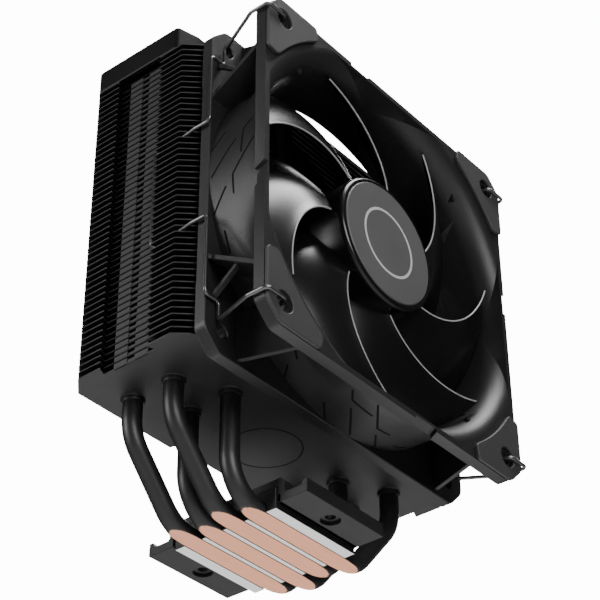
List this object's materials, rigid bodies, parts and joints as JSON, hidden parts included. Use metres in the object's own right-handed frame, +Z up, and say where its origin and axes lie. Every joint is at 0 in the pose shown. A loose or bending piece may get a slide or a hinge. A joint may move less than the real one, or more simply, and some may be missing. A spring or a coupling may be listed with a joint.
{
  "type": "cpu tower cooler",
  "caption": "Processor cooler: a finned heat sink on bent heat pipes, with an axial fan held on its front by two sprung wire clips.",
  "frame": {"origin": "middle of the contact face that rests on the processor, at its underside", "axes": "+Z up, away from the processor; +Y the way the air is blown, from the fan through the fins; +X to the right seen from the fan"},
  "size_m": [0.125, 0.0829, 0.153],
  "materials": {
    "fin_black": "satin",
    "base_metal": "milled",
    "pipe_black": "gloss",
    "frame_plastic": "satin",
    "rotor_plastic": "gloss",
    "pad_rubber": "matt",
    "spring_wire": "gloss",
    "polished_steel": "polished",
    "bronze": "sintered",
    "magnet": "matt",
    "copper": "enamelled",
    "core_steel": "satin",
    "board": "satin",
    "grey_foil": "matt"
  },
  "bodies": {
    "heat_sink": {"heat_pipe_1": "pipe_black", "heat_pipe_2": "pipe_black", "heat_pipe_3": "pipe_black", "heat_pipe_4": "pipe_black", "base_block": "base_metal", "mount_plate": "fin_black", "fin_stack": "fin_black", "top_cover": "fin_black", "fan_frame": "frame_plastic", "front_pad_upper_left": "pad_rubber", "rear_pad_upper_left": "pad_rubber", "front_pad_upper_right": "pad_rubber", "rear_pad_upper_right": "pad_rubber", "front_pad_lower_left": "pad_rubber", "rear_pad_lower_left": "pad_rubber", "front_pad_lower_right": "pad_rubber", "rear_pad_lower_right": "pad_rubber", "bearing_bush": "bronze", "stator_core": "core_steel", "winding_front": "copper", "winding_rear": "copper", "circuit_board": "board", "motor_label": "grey_foil"},
    "rotor": {"impeller": "rotor_plastic", "hub_disc": "grey_foil", "rotor_yoke": "core_steel", "rotor_magnet": "magnet", "rotor_shaft": "polished_steel", "shaft_retainer": "polished_steel"},
    "clip_left": {"wire_clip_left": "spring_wire"},
    "clip_right": {"wire_clip_right": "spring_wire"}
  },
  "joints": [
    {"name": "fan_spin", "type": "hinge", "parent": "heat_sink", "child": "rotor", "pos_m": [0, -0.04, 0.0886], "axis": [0, 1, 0], "continuous": true},
    {"name": "clip_left_swing", "type": "hinge", "parent": "heat_sink", "child": "clip_left", "pos_m": [-0.0534, -0.0526, 0.0886], "axis": [0, 0, 1], "range_deg": [0, 20]},
    {"name": "clip_right_swing", "type": "hinge", "parent": "heat_sink", "child": "clip_right", "pos_m": [0.0534, -0.0526, 0.0886], "axis": [0, 0, -1], "range_deg": [0, 20]}
  ]
}
